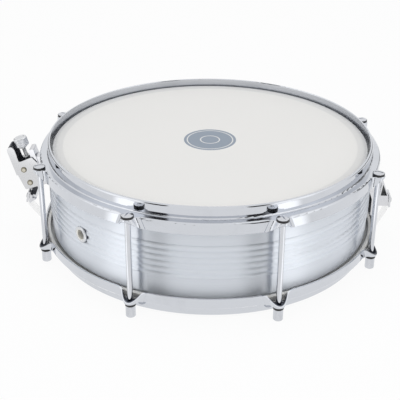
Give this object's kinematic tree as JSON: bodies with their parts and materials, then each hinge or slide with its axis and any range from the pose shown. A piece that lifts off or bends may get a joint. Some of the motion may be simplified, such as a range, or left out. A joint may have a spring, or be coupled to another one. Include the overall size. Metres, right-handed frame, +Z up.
{
  "type": "samba snare drum",
  "caption": "Shallow marching snare drum with a beaded metal shell, chromed hoops with drawn ears, slotted tension rods, a lever snare strainer and a butt clamp.",
  "frame": {"origin": "on the drum's axis, in the plane of the nut bottoms that the drum stands on", "axes": "+Z up along the drum's axis; +X from the strainer towards the butt clamp; the vent side seen in the picture is towards -Y"},
  "size_m": [0.37, 0.32, 0.1061],
  "materials": {
    "chromed_steel": "polished chrome plate on pressed and turned steel",
    "shell_aluminium": "satin spun aluminium with rolled beads",
    "flesh_aluminium": "plain drawn aluminium",
    "batter_film": "smooth milky polyester film with a slight sheen and a plain grey printed disc",
    "snare_side_film": "thin hazy polyester film",
    "black_washer": "black nylon",
    "black_rubber": "black moulded rubber",
    "brass": "bright brass, lightly dulled",
    "brass_plate": "rolled brass plate",
    "steel_screws": "zinc plated steel",
    "snare_steel": "coiled stainless snare wire",
    "clear_strap": "clear flexible plastic band"
  },
  "bodies": {
    "drum": {"batter_flesh_hoop": "flesh_aluminium", "batter_head": "batter_film", "batter_hoop": "chromed_steel", "butt_bracket": "chromed_steel", "butt_gasket": "black_rubber", "butt_jaw": "chromed_steel", "butt_jaw_screws": "steel_screws", "butt_nuts": "steel_screws", "butt_screws": "steel_screws", "butt_strap": "clear_strap", "lever_pivot_rivets": "brass", "rod_head_washers": "black_washer", "rod_nut_washers": "black_washer", "shell": "shell_aluminium", "snare_side_flesh_hoop": "flesh_aluminium", "snare_side_head": "snare_side_film", "snare_side_hoop": "chromed_steel", "strainer_base": "chromed_steel", "strainer_gasket": "black_rubber", "strainer_screws": "steel_screws", "strainer_strap": "clear_strap", "strainer_washers": "steel_screws", "tension_nuts": "chromed_steel", "vent_eyelet": "chromed_steel"},
    "rod_1": {"tension_rod_1": "chromed_steel"},
    "rod_2": {"tension_rod_2": "chromed_steel"},
    "rod_3": {"tension_rod_3": "chromed_steel"},
    "rod_4": {"tension_rod_4": "chromed_steel"},
    "rod_5": {"tension_rod_5": "chromed_steel"},
    "rod_6": {"tension_rod_6": "chromed_steel"},
    "rod_7": {"tension_rod_7": "chromed_steel"},
    "rod_8": {"tension_rod_8": "chromed_steel"},
    "lever": {"throw_lever": "chromed_steel", "lever_cross_pin": "brass"},
    "carriage": {"strainer_carriage": "chromed_steel"},
    "adjuster": {"adjuster_screw": "chromed_steel", "adjuster_knob": "chromed_steel"},
    "clamp": {"clamp_slide": "chromed_steel", "clamp_jaw": "chromed_steel", "clamp_jaw_screws": "steel_screws"},
    "snares": {"snare_wires": "snare_steel", "snare_end_plates": "brass_plate", "end_plate_screws": "steel_screws"}
  },
  "joints": [
    {"name": "rod_1_turn", "type": "hinge", "parent": "drum", "child": "rod_1", "pos_m": [0.06257, -0.15105, 0.095], "axis": [0, 0, 1], "continuous": true},
    {"name": "rod_2_turn", "type": "hinge", "parent": "drum", "child": "rod_2", "pos_m": [0.15105, -0.06257, 0.095], "axis": [0, 0, 1], "continuous": true},
    {"name": "rod_3_turn", "type": "hinge", "parent": "drum", "child": "rod_3", "pos_m": [0.15105, 0.06257, 0.095], "axis": [0, 0, 1], "continuous": true},
    {"name": "rod_4_turn", "type": "hinge", "parent": "drum", "child": "rod_4", "pos_m": [0.06257, 0.15105, 0.095], "axis": [0, 0, 1], "continuous": true},
    {"name": "rod_5_turn", "type": "hinge", "parent": "drum", "child": "rod_5", "pos_m": [-0.06257, 0.15105, 0.095], "axis": [0, 0, 1], "continuous": true},
    {"name": "rod_6_turn", "type": "hinge", "parent": "drum", "child": "rod_6", "pos_m": [-0.15105, 0.06257, 0.095], "axis": [0, 0, 1], "continuous": true},
    {"name": "rod_7_turn", "type": "hinge", "parent": "drum", "child": "rod_7", "pos_m": [-0.15105, -0.06257, 0.095], "axis": [0, 0, 1], "continuous": true},
    {"name": "rod_8_turn", "type": "hinge", "parent": "drum", "child": "rod_8", "pos_m": [-0.06257, -0.15105, 0.095], "axis": [0, 0, 1], "continuous": true},
    {"name": "lever_throw", "type": "hinge", "parent": "drum", "child": "lever", "pos_m": [-0.1738, 0, 0.0538], "axis": [0, -1, 0], "range_deg": [0, 75]},
    {"name": "snare_release", "type": "slide", "parent": "drum", "child": "carriage", "axis": [-0.2756, 0, 0.9613], "range_m": [-0.004, 0], "deforming": ["strainer_strap"]},
    {"name": "knob_turn", "type": "hinge", "parent": "carriage", "child": "adjuster", "pos_m": [-0.16995, 0, 0.0549], "axis": [-0.2756, 0, 0.9613], "range_deg": [-720, 720]},
    {"name": "clamp_adjust", "type": "slide", "parent": "carriage", "child": "clamp", "axis": [-0.2756, 0, 0.9613], "range_m": [-0.0014, 0.0014]},
    {"name": "snare_drop", "type": "slide", "parent": "drum", "child": "snares", "axis": [0, 0, 1], "range_m": [-0.0015, 0], "deforming": ["butt_strap"]}
  ],
  "couplings": [
    {"joint": "lever_throw", "follows": "snare_release", "rad_per_m": -327.2},
    {"joint": "snare_drop", "follows": "snare_release", "ratio": 0.375},
    {"joint": "knob_turn", "follows": "clamp_adjust", "rad_per_m": -8975}
  ]
}
